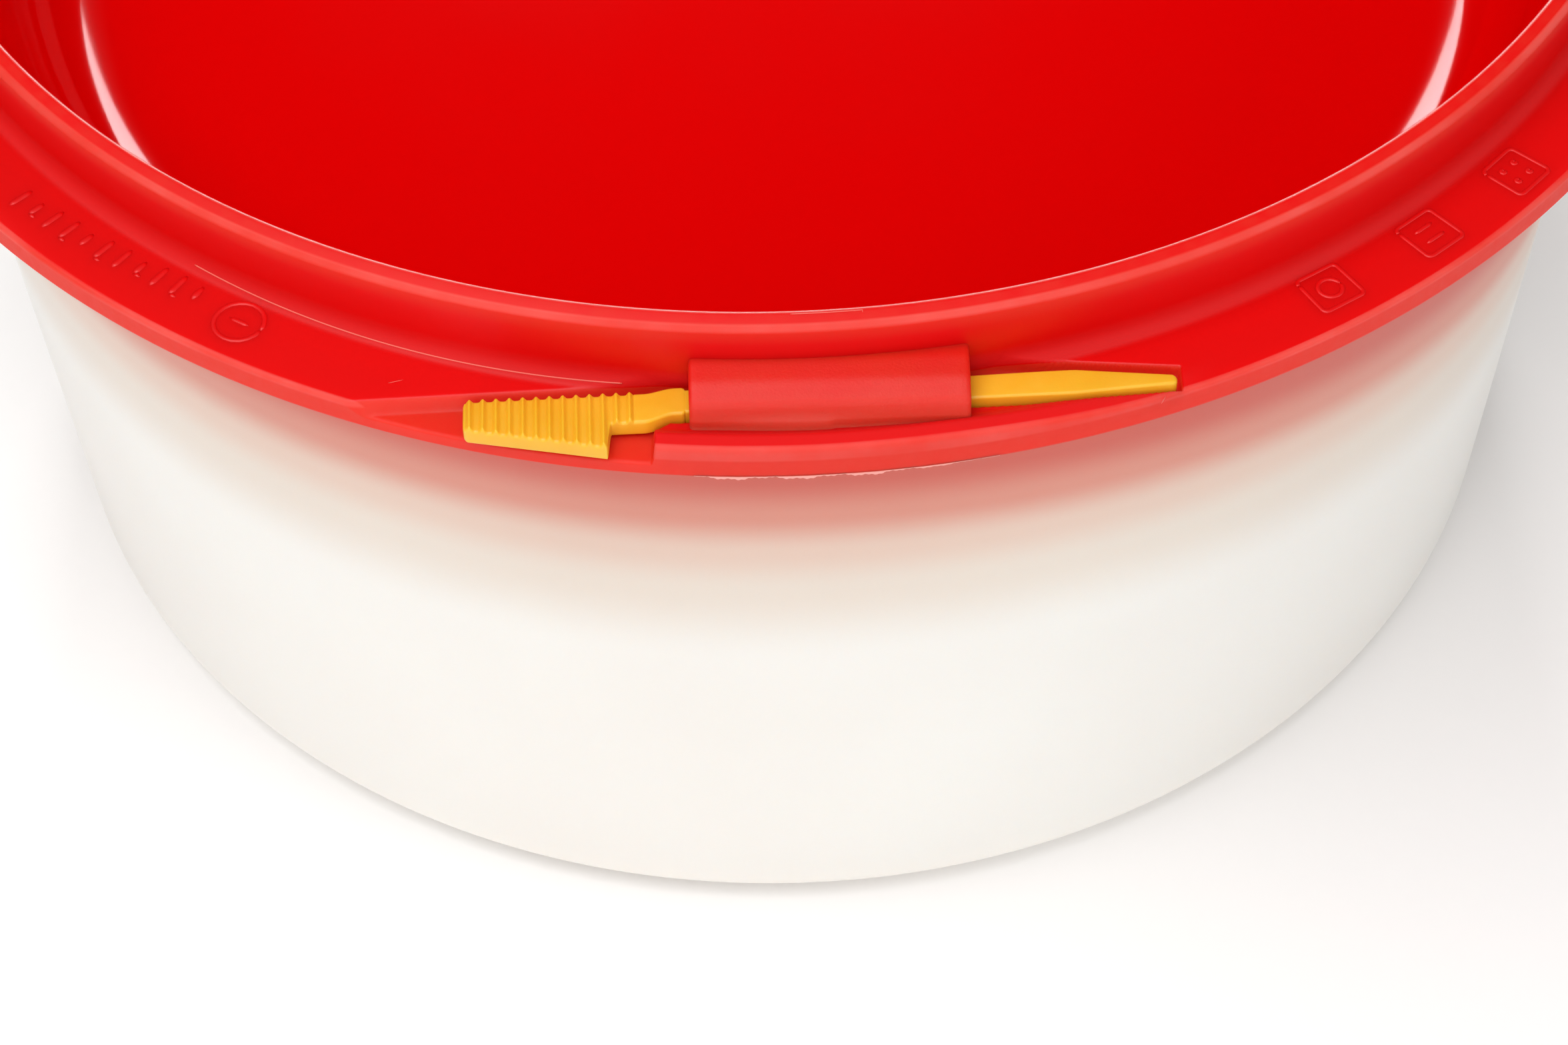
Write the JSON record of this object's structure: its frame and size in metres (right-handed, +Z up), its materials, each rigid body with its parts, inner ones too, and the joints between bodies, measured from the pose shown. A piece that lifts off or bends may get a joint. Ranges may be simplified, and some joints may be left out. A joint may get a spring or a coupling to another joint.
{
  "type": "lidded sand bucket",
  "caption": "Squat lidded pail with a deep dished lid, a sliding lock pin on the lid's flange and a wire bail with a turning grip.",
  "frame": {"origin": "middle of the base, on the surface that the pail stands on", "axes": "+Z up; the lock pin is at the front, on the -Y side, and slides along -X to open; the ears are on +X and -X"},
  "size_m": [0.243, 0.23, 0.1121],
  "materials": {
    "tub_plastic": "natural-white polypropylene, slightly milky, satin",
    "lid_plastic": "red polypropylene, glossy in the dish, satin on the rim and the flange",
    "pin_plastic": "warm yellow polypropylene, satin",
    "seal": "soft off-white elastomer, matte",
    "wire": "drawn galvanised wire",
    "grip_plastic": "warm yellow polypropylene, satin"
  },
  "bodies": {
    "tub": {"bucket_body": "tub_plastic"},
    "lid": {"lid": "lid_plastic", "lid_gasket": "seal"},
    "pin": {"slide_pin": "pin_plastic"},
    "bail": {"wire_bail": "wire"},
    "grip": {"handle_grip": "grip_plastic"}
  },
  "joints": [
    {"name": "lid_lift", "type": "slide", "parent": "tub", "child": "lid", "axis": [0, 0, 1], "range_m": [0, 0.08]},
    {"name": "pin_slide", "type": "slide", "parent": "lid", "child": "pin", "axis": [-0.9995, -0.0314, 0], "range_m": [0, 0.022]},
    {"name": "bail_swing", "type": "hinge", "parent": "tub", "child": "bail", "pos_m": [0, 0, 0.086], "axis": [1, 0, 0], "range_deg": [0, 244.6]},
    {"name": "grip_spin", "type": "hinge", "parent": "bail", "child": "grip", "pos_m": [0, 0.10735, 0.01814], "axis": [1, 0, 0], "continuous": true}
  ]
}
